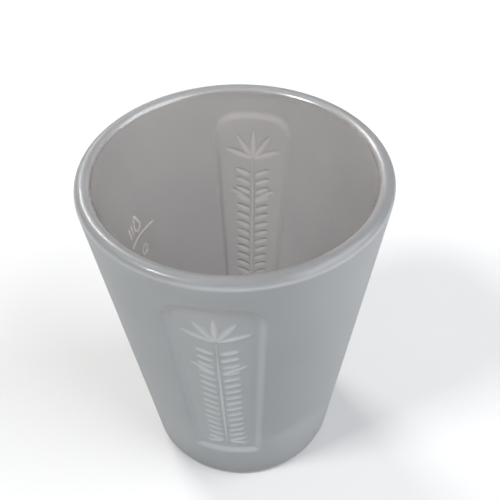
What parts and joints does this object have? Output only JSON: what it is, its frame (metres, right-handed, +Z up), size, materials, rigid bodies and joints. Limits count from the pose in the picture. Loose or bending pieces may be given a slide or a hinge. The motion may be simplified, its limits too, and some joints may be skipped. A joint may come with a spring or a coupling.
{
  "type": "shot glass",
  "caption": "Tapered pressed-glass shot glass with rounded rim, heavy base, opposite recessed panels with raised grain-ear ornament, and an enamel fill mark.",
  "frame": {"origin": "centre of the foot, on the surface that the glass stands on", "axes": "+Z up along the glass's axis, -Y towards one recessed panel, +Y towards the other, fill mark near -X"},
  "size_m": [0.048, 0.048, 0.061],
  "materials": {
    "frosted_glass": "satin-frosted outside, clear and glossy inside and on the fire-polished rim",
    "white_enamel": "thin fired-on white enamel, slightly glossy"
  },
  "bodies": {
    "root": {"glass_body": "frosted_glass", "fill_line": "white_enamel", "fill_drop": "white_enamel", "fill_tick_1": "white_enamel", "fill_tick_2": "white_enamel", "fill_ring": "white_enamel"}
  },
  "joints": []
}
